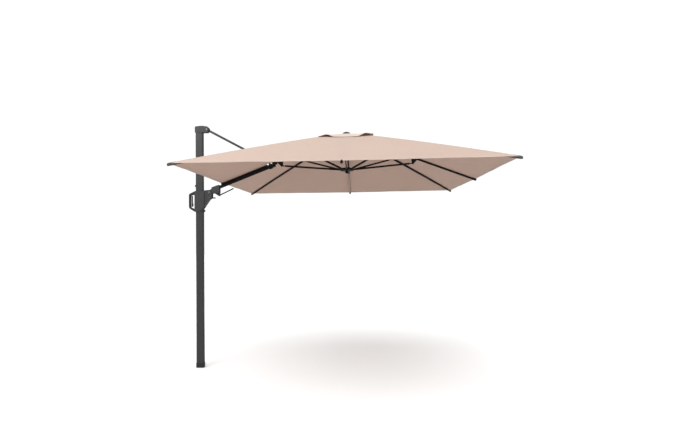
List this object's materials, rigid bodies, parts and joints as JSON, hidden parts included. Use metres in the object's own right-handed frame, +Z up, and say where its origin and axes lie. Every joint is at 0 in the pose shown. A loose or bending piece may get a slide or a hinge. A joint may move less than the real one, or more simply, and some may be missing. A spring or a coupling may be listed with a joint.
{
  "type": "cantilever parasol",
  "caption": "Cantilever garden parasol: a square ribbed canopy hung from an inclined arm, held by a tie rod and a sliding carriage on an offset mast.",
  "frame": {"origin": "centre of the mast's bottom face", "axes": "+Z up along the mast, +X from the mast to the canopy, -Y the front as a viewer with the mast on the left sees it"},
  "size_m": [3.4005, 3.017, 2.8687],
  "materials": {
    "tube_paint": "anthracite powder coat on the mast, arm and tie rod, fine texture, satin",
    "cast_paint": "grey-anthracite powder coat on castings, satin",
    "frame_black": "black powder coat on ribs and struts, satin",
    "dark_plastic": "moulded dark grey plastic, matt",
    "nylon": "grey nylon, satin",
    "steel": "zinc-plated steel pins and wire",
    "cord": "braided cord",
    "canopy_cloth": "woven beige polyester, matt, hemmed"
  },
  "bodies": {
    "mast": {"foot_sleeve": "dark_plastic", "mast_tube": "tube_paint", "head_cap": "cast_paint", "head_pin": "steel", "stop_lug": "dark_plastic"},
    "tie_rod": {"tie_rod_eye": "cast_paint", "tie_rod_tube": "tube_paint", "tie_rod_fork": "cast_paint", "tie_pin": "steel"},
    "swivel_ring": {"swivel_ring": "frame_black", "swivel_bush": "nylon"},
    "arm": {"arm_tube": "frame_black", "arm_end_fitting": "frame_black", "rib_mast_inner": "frame_black", "rib_mast_outer": "frame_black", "clip_mast": "dark_plastic"},
    "collar": {"collar_housing": "cast_paint", "arm_bush": "nylon", "tilt_lever_pin": "steel"},
    "carriage": {"carriage_body": "cast_paint", "upper_glide": "nylon", "lower_glide": "nylon", "handle": "dark_plastic", "trigger_pin": "steel", "shoulder_pin": "steel"},
    "crown": {"crown_hub": "cast_paint", "crown_ring": "steel", "top_finial": "cast_paint", "canopy_fabric": "canopy_cloth", "vent_fabric": "canopy_cloth", "hoist_cord": "cord"},
    "runner": {"runner_hub": "dark_plastic", "runner_knob": "dark_plastic"},
    "tilt_lever": {"tilt_lever": "dark_plastic"},
    "release_lever": {"release_lever": "dark_plastic"},
    "lock_trigger": {"lock_trigger": "dark_plastic"},
    "rib_outer": {"rib_outer": "frame_black", "clip_outer": "dark_plastic"},
    "strut_outer": {"strut_outer": "frame_black"},
    "rib_outer_back": {"rib_outer_back": "frame_black", "clip_outer_back": "dark_plastic"},
    "strut_outer_back": {"strut_outer_back": "frame_black"},
    "rib_back": {"rib_back": "frame_black", "clip_back": "dark_plastic"},
    "strut_back": {"strut_back": "frame_black"},
    "rib_mast_back": {"rib_mast_back": "frame_black", "clip_mast_back": "dark_plastic"},
    "strut_mast_back": {"strut_mast_back": "frame_black"},
    "strut_mast": {"strut_mast": "frame_black"},
    "rib_mast_front": {"rib_mast_front": "frame_black", "clip_mast_front": "dark_plastic"},
    "strut_mast_front": {"strut_mast_front": "frame_black"},
    "rib_front": {"rib_front": "frame_black", "clip_front": "dark_plastic"},
    "strut_front": {"strut_front": "frame_black"},
    "rib_outer_front": {"rib_outer_front": "frame_black", "clip_outer_front": "dark_plastic"},
    "strut_outer_front": {"strut_outer_front": "frame_black"}
  },
  "joints": [
    {"name": "lift", "type": "hinge", "parent": "mast", "child": "tie_rod", "pos_m": [0.095, 0, 2.823], "axis": [0, 1, 0], "range_deg": [0, 57.5], "deforming": ["canopy_fabric", "vent_fabric", "hoist_cord"]},
    {"name": "ring_pivot", "type": "hinge", "parent": "tie_rod", "child": "swivel_ring", "pos_m": [0.84, 0, 2.416], "axis": [0, 1, 0], "range_deg": [-119.79, 0]},
    {"name": "side_tilt", "type": "hinge", "parent": "swivel_ring", "child": "arm", "pos_m": [0.11323, 0, 2.08445], "axis": [0.9344, 0, 0.3562], "range_deg": [-15, 15]},
    {"name": "collar_swivel", "type": "hinge", "parent": "arm", "child": "collar", "pos_m": [0.11323, 0, 2.08445], "axis": [0.9344, 0, 0.3562], "range_deg": [-15.01, 15.01]},
    {"name": "shoulder", "type": "hinge", "parent": "collar", "child": "carriage", "pos_m": [0.11929, 0, 2.06856], "axis": [0, 1, 0], "range_deg": [0, 62.29]},
    {"name": "crown_pivot", "type": "hinge", "parent": "arm", "child": "crown", "pos_m": [1.712, 0, 2.722], "axis": [0, 1, 0], "range_deg": [0, 62.29]},
    {"name": "runner_travel", "type": "slide", "parent": "crown", "child": "runner", "axis": [0, 0, -1], "range_m": [0, 1.0919]},
    {"name": "rib_outer_fold", "type": "hinge", "parent": "crown", "child": "rib_outer", "pos_m": [1.812, 0, 2.722], "axis": [0, 1, 0], "range_deg": [0, 63.66]},
    {"name": "strut_outer_fold", "type": "hinge", "parent": "rib_outer", "child": "strut_outer", "pos_m": [2.53345, 0, 2.37423], "axis": [0, 1, 0], "range_deg": [-150.2, 0]},
    {"name": "rib_outer_back_fold", "type": "hinge", "parent": "crown", "child": "rib_outer_back", "pos_m": [1.79736, 0.03535, 2.722], "axis": [-0.7071, 0.7071, 0], "range_deg": [0, 69.77]},
    {"name": "strut_outer_back_fold", "type": "hinge", "parent": "rib_outer_back", "child": "strut_outer_back", "pos_m": [2.31755, 0.55555, 2.51549], "axis": [-0.7071, 0.7071, 0], "range_deg": [-141.28, 0]},
    {"name": "rib_back_fold", "type": "hinge", "parent": "crown", "child": "rib_back", "pos_m": [1.762, 0.05, 2.722], "axis": [-1, 0, 0], "range_deg": [0, 63.66]},
    {"name": "strut_back_fold", "type": "hinge", "parent": "rib_back", "child": "strut_back", "pos_m": [1.762, 0.77145, 2.37423], "axis": [-1, 0, 0], "range_deg": [-150.2, 0]},
    {"name": "rib_mast_back_fold", "type": "hinge", "parent": "crown", "child": "rib_mast_back", "pos_m": [1.72664, 0.03535, 2.722], "axis": [-0.7071, -0.7071, 0], "range_deg": [0, 69.77]},
    {"name": "strut_mast_back_fold", "type": "hinge", "parent": "rib_mast_back", "child": "strut_mast_back", "pos_m": [1.20645, 0.55555, 2.51549], "axis": [-0.7071, -0.7071, 0], "range_deg": [-141.28, 0]},
    {"name": "strut_mast_fold", "type": "hinge", "parent": "arm", "child": "strut_mast", "pos_m": [0.99055, 0, 2.37423], "axis": [0, -1, 0], "range_deg": [-147.27, 0]},
    {"name": "rib_mast_front_fold", "type": "hinge", "parent": "crown", "child": "rib_mast_front", "pos_m": [1.72664, -0.03535, 2.722], "axis": [0.7071, -0.7071, 0], "range_deg": [0, 69.77]},
    {"name": "strut_mast_front_fold", "type": "hinge", "parent": "rib_mast_front", "child": "strut_mast_front", "pos_m": [1.20645, -0.55555, 2.51549], "axis": [0.7071, -0.7071, 0], "range_deg": [-141.28, 0]},
    {"name": "rib_front_fold", "type": "hinge", "parent": "crown", "child": "rib_front", "pos_m": [1.762, -0.05, 2.722], "axis": [1, 0, 0], "range_deg": [0, 63.66]},
    {"name": "strut_front_fold", "type": "hinge", "parent": "rib_front", "child": "strut_front", "pos_m": [1.762, -0.77145, 2.37423], "axis": [1, 0, 0], "range_deg": [-150.2, 0]},
    {"name": "rib_outer_front_fold", "type": "hinge", "parent": "crown", "child": "rib_outer_front", "pos_m": [1.79736, -0.03535, 2.722], "axis": [0.7071, 0.7071, 0], "range_deg": [0, 69.77]},
    {"name": "strut_outer_front_fold", "type": "hinge", "parent": "rib_outer_front", "child": "strut_outer_front", "pos_m": [2.31755, -0.55555, 2.51549], "axis": [0.7071, 0.7071, 0], "range_deg": [-141.28, 0]},
    {"name": "tilt_lever_squeeze", "type": "hinge", "parent": "collar", "child": "tilt_lever", "pos_m": [0.23966, 0, 2.03633], "axis": [0, -1, 0], "range_deg": [0, 12]},
    {"name": "release_lever_squeeze", "type": "hinge", "parent": "carriage", "child": "release_lever", "pos_m": [-0.092, 0, 2.026], "axis": [0, 1, 0], "range_deg": [0, 4]},
    {"name": "lock_trigger_press", "type": "hinge", "parent": "carriage", "child": "lock_trigger", "pos_m": [0.12, 0, 2.008], "axis": [0, -1, 0], "range_deg": [0, 10]}
  ],
  "couplings": [
    {"joint": "ring_pivot", "follows": "lift", "ratio": -2.083},
    {"joint": "collar_swivel", "follows": "side_tilt", "ratio": -1},
    {"joint": "shoulder", "follows": "lift", "ratio": 1.083},
    {"joint": "crown_pivot", "follows": "lift", "ratio": 1.083},
    {"joint": "runner_travel", "follows": "lift", "m_per_rad": 1.0875},
    {"joint": "rib_outer_fold", "follows": "lift", "ratio": 1.1067},
    {"joint": "strut_outer_fold", "follows": "lift", "ratio": -2.6118},
    {"joint": "rib_outer_back_fold", "follows": "lift", "ratio": 1.213},
    {"joint": "strut_outer_back_fold", "follows": "lift", "ratio": -2.4567},
    {"joint": "rib_back_fold", "follows": "lift", "ratio": 1.1067},
    {"joint": "strut_back_fold", "follows": "lift", "ratio": -2.6118},
    {"joint": "rib_mast_back_fold", "follows": "lift", "ratio": 1.213},
    {"joint": "strut_mast_back_fold", "follows": "lift", "ratio": -2.4567},
    {"joint": "strut_mast_fold", "follows": "lift", "ratio": -2.5609},
    {"joint": "rib_mast_front_fold", "follows": "lift", "ratio": 1.213},
    {"joint": "strut_mast_front_fold", "follows": "lift", "ratio": -2.4567},
    {"joint": "rib_front_fold", "follows": "lift", "ratio": 1.1067},
    {"joint": "strut_front_fold", "follows": "lift", "ratio": -2.6118},
    {"joint": "rib_outer_front_fold", "follows": "lift", "ratio": 1.213},
    {"joint": "strut_outer_front_fold", "follows": "lift", "ratio": -2.4567}
  ]
}
